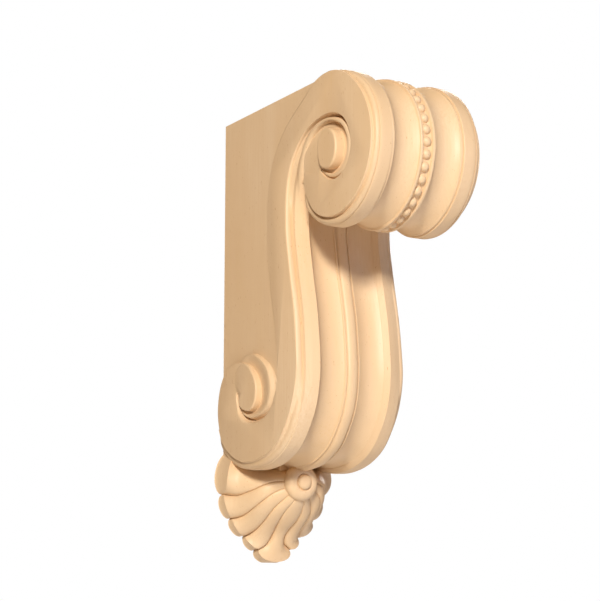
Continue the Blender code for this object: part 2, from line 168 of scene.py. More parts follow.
# The neck behind the scroll is three plain blocks: half width, gap to the wall, depth and lowest level in mm
NECK_BLOCKS = ((36.9, 0.4, 5.0, -92.0), (31.0, 0.6, 12.0, -104.0), (12.0, 0.8, 34.0, -104.0))
NECK_TOP = -50.0

# Layers of the wood: size across and along the grain in mm, detail and roughness of the noise, and the noise
# values at which the layer begins and is full
FIGURE = (38.46, 153.8, 3.0, 0.5, 0.3, 0.7)
GRAIN = (1.111, 45.45, 4.0, 0.6, 0.32, 0.72)
FLECK = (0.4167, 3.846, 1.0, 0.5, 0.74, 0.80)

# Camera of the photograph: place in metres, focal length and longer side of the picture in pixels
CAMERA_PLACE = (-0.5585, -0.93605, -0.1721)
FOCAL_PIXELS = 1566.3
PICTURE_SIDE = 601.0
SENSOR_MM = 36.0

# What the lights point at, in metres
KEY_AIM = (0, -0.08, 0.05)
BACK_AIM = (0, -0.08, 0.0)


def cubic(t, start, leave, end, arrive):
    """The cubic from start to end over t of 0 to 1, with its slopes at the start and at the end."""
    return (
        (2 * t**3 - 3 * t**2 + 1) * start
        + (t**3 - 2 * t**2 + t) * leave
        + (3 * t**2 - 2 * t**3) * end
        + (t**3 - t**2) * arrive
    )


def smooth(table, at):
    """Smooth values through a table of (place, value) pairs, as a cubic with matched slopes."""
    knots, values = np.array(table, float).T
    at = np.clip(at, knots[0], knots[-1])
    slope = np.gradient(values, knots)
    i = np.clip(np.searchsorted(knots, at, side="right") - 1, 0, len(knots) - 2)
    span = knots[i + 1] - knots[i]
    t = (at - knots[i]) / span
    return cubic(t, values[i], span * slope[i], values[i + 1], span * slope[i + 1])


def through(values, at):
    """Smooth values through a plain list, whose places are 0, 1, 2 and so on."""
    return smooth(list(enumerate(values)), at)


def row(*values):
    """One row of numbers that holds for every station of a path."""
    return np.array([values], float)


def ease(t):
    """Rises from 0 to 1 with level ends."""
    t = np.clip(t, 0, 1)
    return t * t * (3 - 2 * t)


def curve(points, count):
    """A smooth curve through points, spaced evenly along its length."""
    points = np.array(points, float)
    t = np.linspace(0, len(points) - 1, 60 * len(points))
    fine = np.stack([through(points[:, k], t) for k in (0, 1)], 1)
    run = np.concatenate([[0], np.cumsum(np.linalg.norm(np.diff(fine, axis=0), axis=1))])
    at = np.linspace(0, run[-1], count)
    return np.stack([np.interp(at, run, fine[:, k]) for k in (0, 1)], 1)


def turn(centre, q, radius):
    """Points round a centre in YZ: quarter turn 0 is the top, 1 the front, 2 the underside, 3 the back."""
    angle = np.asarray(q) * np.pi / 2
    return centre + np.stack([-np.sin(angle), np.cos(angle)], -1) * np.asarray(radius)[..., None]


def spiral(centre, table, q):
    """A spiral through the radii of a table."""
    return turn(centre, q, smooth(table, q))


def outward(path):
    """Unit normals of a path in YZ that runs down the front, pointing out of the wood."""
    step = np.gradient(path, axis=0)
    return np.stack([step[:, 1], -step[:, 0]], 1) / np.linalg.norm(step, axis=1)[:, None]


def tube(rings):
    """A closed solid from an array of rings (count, ring, xyz), skinned in order, capped and facing out."""
    rings = np.asarray(rings, float)
    n, k = rings.shape[:2]
    points = rings.reshape(-1, 3)
    i, j = np.meshgrid(np.arange(n - 1), np.arange(k), indexing="ij")
    a, b = i * k + j, i * k + (j + 1) % k
    quads = np.stack([a, b, b + k, a + k], -1).reshape(-1, 4)
    start, end = np.arange(k)[::-1], np.arange(k) + (n - 1) * k
    p = points - points.mean(0)
    volume = 0.0
    for tri in (quads[:, [0, 1, 2]], quads[:, [0, 2, 3]]):
        volume += np.einsum("ij,ij->", p[tri[:, 0]], np.cross(p[tri[:, 1]], p[tri[:, 2]]))
    for cap in (start, end):
        volume += np.einsum("ij,ij->", p[cap[:1]].repeat(k - 2, 0), np.cross(p[cap[1:-1]], p[cap[2:]]))
    faces = [*quads.tolist(), start.tolist(), end.tolist()]
    if volume < 0:
        faces = [f[::-1] for f in faces]
    return points, faces


def both_sides(solid):
    """A solid and its mirror image on the other side of the middle plane."""
    points, faces = solid
    return [solid, (points * [-1, 1, 1], [f[::-1] for f in faces])]


def trim(mesh, back):
    """Cuts a closed mesh off flat, this many mm in front of the wall face, and closes the cut."""
    work = bmesh.new()
    work.from_mesh(mesh)
    parts = [*work.verts, *work.edges, *work.faces]
    cut = bmesh.ops.bisect_plane(
        work, geom=parts, plane_co=(0, -back * MM, 0), plane_no=(0, 1, 0), clear_outer=True
    )
    edges = [part for part in cut["geom_cut"] if isinstance(part, bmesh.types.BMEdge)]
    bmesh.ops.holes_fill(work, edges=edges, sides=0)
    bmesh.ops.recalc_face_normals(work, faces=work.faces)
    work.to_mesh(mesh)
    work.free()


def piece(name, solids, sharp=35.0, back=0.2):
    """One mesh object from closed solids in mm, cut off just in front of the wall face if need be."""
    offset, points, faces = 0, [], []
    for p, f in solids:
        points.append(p)
        faces += [[v + offset for v in face] for face in f]
        offset += len(p)
    points = np.concatenate(points)
    points[:, 0] = np.clip(points[:, 0], -PROUD, PROUD)
    points[:, 1] = np.maximum(points[:, 1], FRONT)
    points[:, 2] = np.clip(points[:, 2], -TOP, TOP)
    mesh = bpy.data.meshes.new(name)
    mesh.from_pydata((points * MM).tolist(), [], faces)
    mesh.update()
    if points[:, 1].max() > 0.001:
        trim(mesh, back)
    mesh.shade_smooth()
    mesh.set_sharp_from_angle(angle=math.radians(sharp))
    made = bpy.data.objects.new(name, mesh)
    bpy.context.collection.objects.link(made)
    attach(made, "root")
    mesh.materials.append(hardwood())
    return made


def plate(outline, bottom, top, bevel):
    """A flat plate on the side, with the outline in YZ and its upper edge rounded by the bevel."""
    step = np.roll(outline, -1, 0) - np.roll(outline, 1, 0)
    normal = np.stack([step[:, 1], -step[:, 0]], 1) / np.linalg.norm(step, axis=1)[:, None]
    area = np.sum(outline[:, 0] * np.roll(outline[:, 1], -1) - outline[:, 1] * np.roll(outline[:, 0], -1))
    normal *= np.sign(area)
    bevel = np.broadcast_to(bevel, len(outline))[:, None]
    rings = [np.column_stack([np.full(len(outline), bottom), outline])]
    for angle in np.radians([0, 22, 45, 68, 90]):
        at = outline - normal * bevel * (1 - np.cos(angle))
        rings.append(np.column_stack([top - bevel * (1 - np.sin(angle)), at]))
    return tube(rings)


def roll_path(count):
    """The roll's band outline: level out of the flat top, round the front and under to the neck."""
    q = np.linspace(0, ROLL_BAND[-1][0], count)
    stations = 14
    along = np.linspace(UPPER[0] + 9.5, UPPER[0] + 1.5, stations)
    level = np.stack([along, np.full(stations, TOP - 0.02)], 1)
    level[:3, 1] -= [0.5, 0.2, 0.05]
    path = np.concatenate([level, spiral(UPPER, ROLL_BAND, q)])
    return path, np.concatenate([np.full(stations, -0.01), q])


def sweep(path, x, drop, skin=14.0, width=40.0):
    """Half profiles (stations, points) of half width x and drop, carried along a path on both sides."""
    x, drop = np.broadcast_arrays(x, drop)
    full_x = np.concatenate([-x[:, ::-1], x[:, 1:]], 1)
    full_drop = np.concatenate([drop[:, ::-1], drop[:, 1:]], 1)
    ends = np.ones((len(path), 1))
    full_x = np.concatenate([full_x, ends * width, -ends * width], 1)
    full_drop = np.concatenate([full_drop, ends * skin, ends * skin], 1)
    at = path[:, None] - full_drop[..., None] * outward(path)[:, None]
    return tube(np.concatenate([full_x[..., None], at], 2))


def profile(*stretches):
    """Joins stretches of (x, drop) columns, each (stations, points), into one half profile."""
    count = max(len(np.atleast_2d(v)) for pair in stretches for v in pair)
    pairs = [np.broadcast_arrays(x, d, np.zeros((count, 1)))[:2] for x, d in stretches]
    xs, drops = zip(*pairs)
    return np.concatenate(xs, 1), np.concatenate(drops, 1)


def roll_front():
    """The front of the roll: sunk pearl channel, fillets, coves, bands and a bead sunk beside the face."""
    path, q = roll_path(230)
    q = q[:, None]
    back = np.clip((path[:, :1] - UPPER[0]) / 9, 0, 1)
    fade = np.where(q < 0, 0.15 * (1 - back) ** 2 + 0.001, np.maximum(ease((q + 0.01) / 0.14), 0.15))
    u = np.linspace(0, 1, 24)[None]
    cove = 2.3 - 0.9 * u + 3.7 * 4 * u * (1 - u) * (0.9 + 0.25 * u)
    edge = np.maximum(smooth(ROLL_BAND, q) - smooth(ROLL_FACE, q), 0.2)
    full = np.clip(edge / 3, 0.05, 1)
    bead = np.minimum(0.68 * edge, 3.4)
    sunk = ease((q - 1.2) / 0.8) * row(0.2, 1.0, 1.1, 0.9, 0.0)
    quirk = bead + (edge - bead) * row(0.15, 0.45, 0.8, 1.0, 1.02)
    angle = np.linspace(0, 1, 11)[None] * np.pi / 2
    stretches = (
        (row(0, 1.2, 2.4, 3.5, 3.7), row(3.2, 3.1, 2.9, 2.6, 1.0) * fade),
        (row(3.9, 4.5, 5.2, 5.5, 5.7), row(0.75, 0.6, 0.65, 0.9, 1.9) * fade),
        (5.8 + (25.1 - 5.8) * u, cove * fade),
        (row(25.3, 25.8, 26.6, 26.9, 27.2), row(1.0, 0.85, 0.9, 1.15, 1.2) * fade),
        (row(27.4, 27.7, 30.5, 33.5, 35.9, 36.3, 36.5), row(0.25, 0, 0, 0, 0.02, 0.2, 0.6) * full),
        (row(36.6, 36.8), row(0.95, 0.8) * full),
        (36.9 + 2.4 * np.sin(angle), 0.35 * full + (bead - 0.35 * full) * (1 - np.cos(angle))),
        (row(39.4, 39.5, 39.5, 39.9, 41.0) - sunk, quirk),
        (row(FACE - 0.05), edge + 0.3),
    )
    return sweep(path, *profile(*stretches), skin=np.maximum(14.0, edge + 4.0))


def s_path():
    """The long S: path of the band's outer edge, slope of the band and depth of the edge moulding."""
    path = curve(S_BAND, 330)
    z = path[:, 1]
    low = z < -60
    slope = smooth(((-95.0, 0.6), (-60.0, 1.8), (-30.0, 3.0), (0.0, 2.7), (60.0, 2.8), (97.0, 3.2)), z)
    slope = slope * (1 - 0.9 * ease((path[:, 0] + 100) / 60) * low)
    depths = ((-95.0, 4.8), (-60.0, 5.0), (-30.0, 3.6), (5.0, 4.6), (25.0, 4.0), (60.0, 4.0), (97.0, 4.3))
    edge = smooth(depths, z)
    edge = edge + 2.6 * ease((path[:, 0] + 40) / 40) * low
    return path, slope, edge


def s_middle():
    """The middle of the long S: half round between fillets, with a cove on each side."""
    path, slope, _ = s_path()
    slope = slope[:, None]
    middle = -0.35 * slope
    u = np.linspace(0, 1, 24)[None]
    cove = (middle + 2.5) * (1 - u) + (2.6 - slope) * u + 3.4 * 4 * u * (1 - u) * (0.85 + 0.3 * u)
    angle = np.linspace(0, 1, 9)[None] * np.pi / 2
    stretches = (
        (4.1 * np.sin(angle), middle + 2.3 * (1 - np.cos(angle))),
        (row(4.25, 4.5, 5.3, 5.6), middle + row(2.6, 1.5, 1.5, 1.8)),
        (5.8 + (25.2 - 5.8) * u, cove),
        (row(25.4, 26.3, 26.6, 27.4, 28.4), row(2.2, 2.1, 2.6, 2.9, 3.2) - slope),
    )
    return sweep(path, *profile(*stretches), width=28.4)


def bridge(start, end, count):
    """Stations between two runs of stations, as a cubic with matched ends."""
    t = np.linspace(0, 1, count + 2)[1:-1].reshape(-1, *[1] * (start.ndim - 1))
    span = np.linalg.norm(end[0] - start[-1], axis=-1, keepdims=True)
    a = start[-1] - start[-4]
    b = end[3] - end[0]
    a = a / np.linalg.norm(a, axis=-1, keepdims=True) * span
    b = b / np.linalg.norm(b, axis=-1, keepdims=True) * span
    return cubic(t, start[-1], a, end[0], b)


def edge_knots():
    """Lines along the moulded edge, from the wall up the long S and round the upper eye, as (x, y, z).

    In order across the edge: inner edge of the band, its middle, its outer edge, the hollow beside it, the
    bead's crest and the edge of the flat face.
    """
    path, slope, edge = s_path()
    normal = outward(path)
    under = ease((-path[:, 1] - 30) / 40)
    bead = -2.3 * (1 - under) - (edge - 1.4) * under
    across = (
        (27.3, slope),
        (31.8, 0.5 * slope + 0.2),
        (36.3, 0 * slope),
        (37.0 - 0.2 * under, -2.7 + 2.1 * under),
        (38.8 + 0.5 * under, bead),
        (FACE, -edge),
    )
    low = []
    for x, d in across:
        low.append(np.column_stack([x + 0 * d, path + d[:, None] * normal]))
    low = np.stack(low, 1)[path[:, 1] < 66][::-1]
    q = np.linspace(-1.0, 2.58, 260)
    rib_in, rib_out, out = (smooth(table, q) for table in (RIB_IN, RIB_OUT, UPPER_OUT))
    sunk = (
        ((-1.0, 3.6), (-0.5, 3.8), (0.0, 4.6), (1.0, 4.2), (2.0, 3.2), (2.6, 0.5)),
        ((-1.0, 1.7), (-0.5, 0.9), (0.0, 0.9), (1.0, 1.0), (2.0, 0.8), (2.6, 0.3)),
        ((-1.0, 2.6), (-0.5, 1.9), (0.0, 1.7), (1.0, 1.8), (2.0, 1.4), (2.6, 0.4)),
        ((-1.0, 3.2), (-0.7, 3.4), (-0.3, 4.4), (0.1, 5.0), (1.0, 4.2), (2.0, 3.4), (2.6, 0.6)),
        ((-1.0, 1.8), (-0.7, 1.9), (-0.3, 2.4), (0.1, 2.6), (1.0, 2.2), (2.6, 0.3)),
        ((-1.0, 0.0), (2.6, 0.0)),
    )
    radii = (
        rib_in, 0.5 * rib_in + 0.5 * rib_out, rib_out,
        0.7 * rib_out + 0.3 * out, 0.2 * rib_out + 0.8 * out, out,
    )
    high = [np.column_stack([FACE - smooth(d, q), turn(UPPER, q, r)]) for d, r in zip(sunk, radii)]
    high = np.stack(high, 1)
    return np.concatenate([low, bridge(low, high, 60), high])


def edge_strip():
    """The moulded edge: rounded edge of the face, cove and band, lofted through its lines."""
    knots = edge_knots()
    count = len(knots)
    at = np.arange(count)[:, None]
    turned = ease((at - count + 300) / 60)
    under = ease((-knots[:, 3, 2:] - 30) / 40) * (at < count / 2)
    u = np.linspace(0, 1, 11)[None]
    level = (1 - np.cos(np.pi * u)) / 2
    angle = u * np.pi / 2
    rise, run = np.sin(angle), 1 - np.cos(angle)
    rows = [knots[:, :1]]

    def stretch(k, side, depth):
        a, b = knots[:, k, None], knots[:, k + 1, None]
        x = a[..., 0] + (b[..., 0] - a[..., 0]) * depth
        yz = a[..., 1:] + (b[..., 1:] - a[..., 1:]) * side[..., None]
        rows.append(np.concatenate([x[..., None], yz], 2)[:, 1:])

    flat = u + 0 * turned
    stretch(0, flat * (1 - turned) + run * turned, flat * (1 - turned) + rise * turned)
    stretch(1, flat * (1 - turned) + rise * turned, flat * (1 - turned) + run * turned)
    stretch(2, flat * (1 - turned) + level * turned, flat * (1 - turned) + level * turned)
    stretch(3, flat * (1 - under) + run * under, flat * (1 - under) + rise * under)
    stretch(4, run * (1 - under) + rise * under, rise * (1 - under) + run * under)
    top = np.concatenate(rows, 1)
    top[:, -1, 0] -= 0.05
    first, last = knots[:, :1].copy(), knots[:, -1:].copy()
    inward = last[..., 1:] - first[..., 1:]
    inward /= np.maximum(np.linalg.norm(inward, axis=-1, keepdims=True), 0.5)
    first[..., 1:] -= 0.8 * inward * turned[..., None]
    last[..., 1:] += 1.5 * inward
    last[..., 0] -= 0.1
    deep_last, deep_first = last.copy(), first.copy()
    deep_last[..., 1:] += 3.0 * inward
    deep_last[..., 0] = np.minimum(34.0, first[..., 0] - 1)
    deep_first[..., 0] = np.minimum(25.0, first[..., 0] - 3)
    deep_first[..., 1:] += 3.0 * inward
    return tube(np.concatenate([first, top, last, deep_last, deep_first], 1))


def pearls(count_round=24, rise=12):
    """Pearls along the roll, each a ball of revolution, as closed solids."""
    sizes = bpy.context.scene.corbel_sizes
    radius, pitch = sizes.pearl_diameter / MM / 2, sizes.pearl_pitch / MM
    q = np.linspace(0.0, 2.5, 500)
    path = spiral(UPPER, ROLL_BAND, q)
    path = path - outward(path) * (radius + 0.35)
    run = np.concatenate([[0], np.cumsum(np.linalg.norm(np.diff(path, axis=0), axis=1))])
    at = np.arange(pitch * 0.4, run[-1], pitch)
    centres = np.stack([np.interp(at, run, path[:, k]) for k in (0, 1)], 1)
    made = []
    polar = np.linspace(0.12, np.pi - 0.12, rise)
    around = np.arange(count_round) / count_round * 2 * np.pi
    ball = np.stack(
        [
            np.cos(polar)[:, None] * np.ones(count_round),
            np.sin(polar)[:, None] * np.cos(around),
            np.sin(polar)[:, None] * np.sin(around),
        ],
        -1,
    )
    for y, z in centres:
        made.append(tube(ball * radius + [0, y, z]))
    return made


def flat_face():
    """Outline of the flat side face, one strip that winds from the lower eye up to the upper eye."""
    roll = spiral(UPPER, ROLL_FACE, np.linspace(0, 2.87, 170))
    crease = turn(UPPER, [2.86, 2.75, 2.64, 2.6], [27.5, 21.5, 17.0, 14.5])
    front = edge_knots()[::-1, -1, 1:]
    front = front[front[:, 1] > -87]
    lower = spiral(LOWER, VOLUTE_FACE, np.linspace(2.1, 3.98, 120))
    start = np.argmax((front[:, 1] < -60) & (front[:, 0] > lower[0, 0] - 0.4))
    front = front[:start]
    eye = spiral(LOWER, LOWER_IN, np.linspace(0.02, 3.3, 120))
    q = np.linspace(3.3, 1.22, 120)
    groove = spiral(LOWER, LOWER_OUT, q)
    back = curve(RIBBON_BACK, 150)[::-1]
    outline = np.concatenate([roll, crease, front, lower, eye, groove, back])
    soft = np.full(len(outline), 0.3)
    start = len(outline) - len(back)
    soft[start - len(q) : start] = 0.3 + 2.0 * ease((q - 1.3) / 0.25) * ease((2.6 - q) / 0.4)
    soft[start:] = 0.3 + 3.6 * ease((back[:, 1] - 96) / 40) * ease((back[:, 0] + 127) / 22)
    return outline, soft


def ramp():
    """The sunk floor round the upper eye, from the crease in the face down to the groove under the rib."""
    q = np.linspace(-1.42, 2.56, 200)
    depths = (
        (-1.45, 0.0), (-1.2, 0.5), (-0.9, 1.9), (-0.4, 3.8), (0.1, 4.8), (1.0, 4.6), (2.0, 3.4), (2.6, 0.4),
    )
    sunk = smooth(depths, q)
    share = np.linspace(-0.3, 1.12, 12)[None]
    inner = smooth(UPPER_EYE, np.minimum(q, 2.43))[:, None]
    edge = ((-1.45, 25.0), (-1.3, 26.5), (-1.15, 28.0), (-1.0, 29.5), *RIB_IN[4:])
    outer = smooth(edge, q)[:, None]
    radius = inner + (outer - inner) * share
    depth = sunk[:, None] * (0.86 + 0.14 * share)
    top = np.concatenate([(FACE - depth)[..., None], turn(UPPER, q[:, None] + 0 * share, radius)], 2)
    low = top[:, [-1, 0]].copy()
    low[..., 0] = CHANNEL_BACK
    return tube(np.concatenate([top, low], 1))


def strip(inner, outer, knots, deep):
    """A moulded channel between two curves: groove, rib, groove and a wall up to the outer edge.

    Knots hold for each station the place of rib and outer groove between 0 at the inner and 1 at the outer
    curve; deep holds the depth of inner groove, rib, outer groove and outer edge under the face.
    """
    rib, groove = knots
    d_in, d_rib, d_out, d_edge = deep
    u = np.linspace(0, 1, 12)[None]
    half = (1 - np.cos(np.pi * u)) / 2
    w = [rib * u, rib + (groove - rib) * u[:, 1:], groove + (1 - groove) * u[:, 1:]]
    wall = np.sqrt(np.maximum(1 - (1 - u[:, 1:]) ** 2, 0))
    d = [
        d_in + (d_rib - d_in) * half,
        d_rib + (d_out - d_rib) * half[:, 1:],
        d_out + (d_edge - d_out) * wall,
    ]
    w, d = np.concatenate(w, 1), np.concatenate(d, 1)
    pad = 1.0 / np.maximum(np.linalg.norm(outer - inner, axis=1), 1.0)[:, None]
    w = np.concatenate([-pad, w, 1 + pad], 1)
    d = np.concatenate([d_in + 0 * pad, d, d_edge + 0.05 + 0 * pad], 1)
    x = FACE - d
    yz = inner[:, None] + (outer - inner)[:, None] * w[..., None]
    top = np.concatenate([x[..., None], yz], 2)
    low = top[:, [-1, 0]].copy()
    low[..., 0] = CHANNEL_BACK
    return tube(np.concatenate([top, low], 1))


def table_columns(q, *tables):
    """Smooth columns for each table along q."""
    return [smooth(t, q)[:, None] for t in tables]


def lower_channel():
    """The channel that winds out of the slab over the lower eye to its hooked tip."""
    q = np.linspace(-0.34, 3.3, 240)
    inner, outer = spiral(LOWER, LOWER_IN, q), spiral(LOWER, LOWER_OUT, q)
    rib, groove = table_columns(
        q,
        (
            (-0.35, 0.7), (0.0, 0.78), (0.4, 0.83), (0.67, 0.79), (0.86, 0.7), (1.0, 0.66), (1.18, 0.63),
            (1.35, 0.56), (1.73, 0.57), (2.07, 0.58), (2.43, 0.6), (3.3, 0.5),
        ),
        (
            (-0.35, 0.93), (0.4, 0.93), (0.67, 0.91), (1.0, 0.87), (1.3, 0.84), (1.6, 0.82), (2.1, 0.84),
            (3.3, 0.85),
        ),
    )
    deep = table_columns(
        q,
        ((-0.35, 1.0), (0.0, 2.0), (0.4, 2.9), (0.9, 3.6), (1.5, 3.8), (2.1, 3.4), (2.6, 2.4), (3.3, 0.6)),
        ((-0.35, 3.0), (0.0, 2.2), (0.4, 1.5), (0.9, 1.2), (1.5, 1.1), (2.1, 1.4), (2.6, 1.3), (3.3, 0.4)),
        ((-0.35, 4.6), (0.6, 4.6), (1.0, 4.0), (1.3, 4.2), (1.6, 4.6), (2.1, 4.6), (2.6, 3.4), (3.3, 0.7)),
        (
            (-0.35, 4.8), (1.0, 4.8), (1.12, 4.0), (1.25, 0.8), (1.5, 2.0), (2.2, 2.0), (2.6, 0.6),
            (3.3, 0.05),
        ),
    )
    return strip(inner, outer, (rib, groove), deep)


def eye(centre, table, q, lift, round_edge):
    """The eye of a volute: level in the middle, with a rounded edge as high over the face as lift."""
    radius = smooth(table, q)[:, None]
    level = 0.86
    rim = 1 - (1 - level) * np.linspace(1, 0, 9)[1:] ** 1.5
    rho = np.concatenate([np.linspace(0.02, level, 14), rim])[None]
    away = np.clip(round_edge - (1 - rho) * radius, 0, round_edge)
    fall = round_edge - np.sqrt(np.maximum(round_edge**2 - away**2, 0))
    middle = lift.max()
    height = middle + (lift[:, None] - middle) * ease(rho)
    x = FACE + height - fall * np.clip((lift[:, None] + 0.2) / middle, 0.1, 1)
    top = np.concatenate([x[..., None], turn(centre, q[:, None] + 0 * rho, radius * rho)], 2)
    rings = np.swapaxes(top, 0, 1)
    low = rings[-1:].copy()
    low[..., 0] = PLATE_BACK
    return tube(np.concatenate([rings, low]))


def upper_eye():
    """The upper eye, highest part of the side."""
    q = np.linspace(-1.57, 2.43, 160)[:-1]
    return eye(UPPER, UPPER_EYE, q, np.full(len(q), PROUD - FACE), 1.4)


def lower_eye():
    """The lower eye, which stands only a little over the face and runs into it at the back."""
    q = np.linspace(-0.6, 3.4, 160)[:-1]
    table = ((-0.6, 16.0), (-0.35, 19.0), *[(a, r + 0.15) for a, r in LOWER_IN[1:-1]], (3.4, 16.0))
    lift = 1.1 * ease((q + 0.6) / 1.0) * (1 - ease((q - 2.3) / 0.9)) - 0.02
    return eye(LOWER, table, q, lift, 1.2)


def shell():
    """The shell: curved lobes swelling between grooves, each turned down to the wall in a round end."""
    at = np.linspace(0, 8, 57)
    lines = []
    for groove in SHELL_GROOVES:
        columns = np.array(groove).T
        lines.append(np.stack([through(column, at) for column in columns], 1))
    lines = [line * [1, 1, -1] for line in lines[::-1]] + lines
    out, up = (through(column, at) for column in np.array(LOBE_LIFT).T)
    rings = []
    for k, (start, end) in enumerate(zip(lines[:-1], lines[1:])):
        lobe = abs(k - 4)
        far = LOBE_REACH[lobe] - (start[-1, 0] + end[-1, 0]) / 2 - out[-1]
        for share in np.linspace(0, 1, 29)[: 29 if k == 8 else 28]:
            round_top = (1 - abs(2 * share - 1) ** 2.3) ** 0.55
            r, height, angle = (start + (end - start) * share).T
            angle = np.radians(angle * (1 + 0.4 * (lobe == 0) * ease((at - 6) / 2) * round_top))
            r = r + round_top * (out + far * ease((at - 4) / 4) ** 2)
            height = height + round_top * up * (2.6 if lobe == 4 else 1.0) * (1 - 0.25 * (lobe == 0))
            wall = np.linspace(0.1, 1, ROUND_END) * np.pi / 2
            low = height[-1] * (1 - np.sin(wall))
            r = np.concatenate([r, r[-1] + 0.12 * height[-1] * (1 - np.cos(wall))])
            height = np.concatenate([height, low])
            angle = np.concatenate([angle, np.full(ROUND_END, angle[-1])])
            x, z = -r * np.sin(angle), SHELL_Z - r * np.cos(angle)
            axis = [(0, 0, SHELL_Z), (0, -height[0] - 1, SHELL_Z)]
            rings.append([*axis, *zip(x, -np.maximum(height, 0), z)])
    return tube(rings)


def rosette():
    """The rosette and its nub, turned about an axis square to the wall."""
    fine = np.linspace(0, len(ROSETTE_SECTION) - 1, 60)
    radius, height = (through(column, fine)[:, None] for column in np.array(ROSETTE_SECTION).T)
    sides = 72
    around = np.arange(sides) / sides * 2 * np.pi
    x = radius * np.cos(around)
    z = ROSETTE_Z + radius * np.sin(around)
    return tube(np.stack([x, -height + 0 * x, z], 2))


def slab_outline():
    """Side outline of the plain slab, kept inside the carved front."""
    path = curve(S_BAND, 120)
    front = path - outward(path) * 11.0
    front = front[(front[:, 0] < -1.0) & (front[:, 1] < 96.0)]
    neck = turn(UPPER, np.array([1.9, 2.3, 2.7]), [37.0, 35.0, 31.0])
    head = [(0.0, front[-1, 1]), (0.0, TOP), (UPPER[0] + 8.0, TOP), (UPPER[0], TOP - 8.0)]
    return np.array([*head, *neck, *front])


def slab():
    """The plain slab at the wall."""
    outline = slab_outline()
    rings = [np.column_stack([np.full(len(outline), x), outline]) for x in (-SLAB, SLAB)]
    return tube(rings)


def neck():
    """The plain neck in the recess between scroll and shell."""
    solids = []
    for half, gap, deep, low in NECK_BLOCKS:
        front = [(-deep, NECK_TOP), (-deep, low + 3.0), (-deep + 3.0, low)]
        outline = np.array([(-gap, low), (-gap, NECK_TOP), *front])
        solids.append(tube([np.column_stack([np.full(len(outline), x), outline]) for x in (-half, half)]))
    return solids


def srgb(text):
    """A linear colour from a hex code."""
    parts = [int(text[i : i + 2], 16) / 255 for i in (0, 2, 4)]
    return (*[c / 12.92 if c <= 0.04045 else ((c + 0.055) / 1.055) ** 2.4 for c in parts], 1.0)


def node(tree, kind, links=None, **values):
    """Adds a node, sets its attributes and input values, and links the sockets given."""
    made = tree.nodes.new(kind)
    for key, value in values.items():
        if hasattr(made, key):
            setattr(made, key, value)
        else:
            made.inputs[key.replace("_", " ")].default_value = value
    for key, source in (links or {}).items():
        tree.links.new(source, made.inputs[key])
    return made


def hardwood():
    """Unfinished pale maple, sanded: warm tan, fine upright grain, soft figure and small dark flecks."""
    if "hardwood_look" in bpy.data.materials:
        return bpy.data.materials["hardwood_look"]
    material = bpy.data.materials.new("hardwood_look")
    material.use_nodes = True
    tree = material.node_tree
    shader = tree.nodes["Principled BSDF"]
    shader.inputs["Roughness"].default_value = 0.46
    shader.inputs["Specular IOR Level"].default_value = 0.35
    place = node(tree, "ShaderNodeTexCoord").outputs["Object"]
    look = bpy.context.scene.corbel_wood
    layers = []
    for across, along, detail, rough, low, high in (FIGURE, GRAIN, FLECK):
        scale = (1 / (across * MM), 1 / (across * MM), 1 / (along * MM))
        stretched = node(tree, "ShaderNodeMapping", {"Vector": place}, Scale=scale)
        noise = node(
            tree,
            "ShaderNodeTexNoise",
            {"Vector": stretched.outputs["Vector"]},
            Scale=1.0,
            Detail=detail,
            Roughness=rough,
        )
        value = noise.outputs["Fac"]
        layer = node(tree, "ShaderNodeMapRange", {"Value": value}, From_Min=low, From_Max=high)
        layers.append(layer.outputs["Result"])
    figure, grain, fleck = layers
    broad = node(
        tree,
        "ShaderNodeMix",
        {"Factor": figure},
        data_type="RGBA",
        A=(*look.warm, 1),
        B=(*look.pale, 1),
    )
    grained = node(
        tree,
        "ShaderNodeMix",
        {"Factor": grain, "A": broad.outputs["Result"]},
        data_type="RGBA",
        B=(*look.grain, 1),
    )
    flecked = node(
        tree,
        "ShaderNodeMix",
        {"Factor": fleck, "A": grained.outputs["Result"]},
        data_type="RGBA",
        blend_type="MULTIPLY",
        B=(*look.fleck, 1),
    )
    tree.links.new(flecked.outputs["Result"], shader.inputs["Base Color"])
    bump = node(tree, "ShaderNodeBump", {"Height": grain}, Strength=0.05, Distance=0.0002)
    tree.links.new(bump.outputs["Normal"], shader.inputs["Normal"])
    return material


def light(name, place, aim, size, power, tint):
    """A soft square area light."""
    data = bpy.data.lights.new(name, "AREA")
    data.size = size
    data.energy = power
    data.color = tint
    made = bpy.data.objects.new(name, data)
    made.location = place
    made.rotation_mode = "QUATERNION"
    made.rotation_quaternion = (Vector(aim) - Vector(place)).to_track_quat("-Z", "Y")
    bpy.context.collection.objects.link(made)


class CorbelSizes(bpy.types.PropertyGroup):
    """Sizes that a user may change."""

    pearl_diameter: FloatProperty(
        name="Pearl diameter",
        description="Diameter of each pearl",
        default=0.0068,
        unit="LENGTH",
        min=0.003,
    )
    pearl_pitch: FloatProperty(
        name="Pearl pitch",
        description="From one pearl to the next",
        default=0.0078,
        unit="LENGTH",
        min=0.004,
    )


def colour(name, description, code):
    """A colour property with the hex code as its default."""
    return FloatVectorProperty(
        name=name, description=description, subtype="COLOR", size=3, min=0, max=1, default=srgb(code)[:3]
    )


class WoodColours(bpy.types.PropertyGroup):
    """Colours of the wood."""

    warm: colour("Warm figure", "Darker, warmer parts of the figure", "DDB988")
    pale: colour("Pale figure", "Paler parts of the figure", "E6C9A0")
    grain: colour("Grain", "Fine upright grain", "DFBD91")
    fleck: colour("Fleck", "Small dark flecks", "C79A6B")


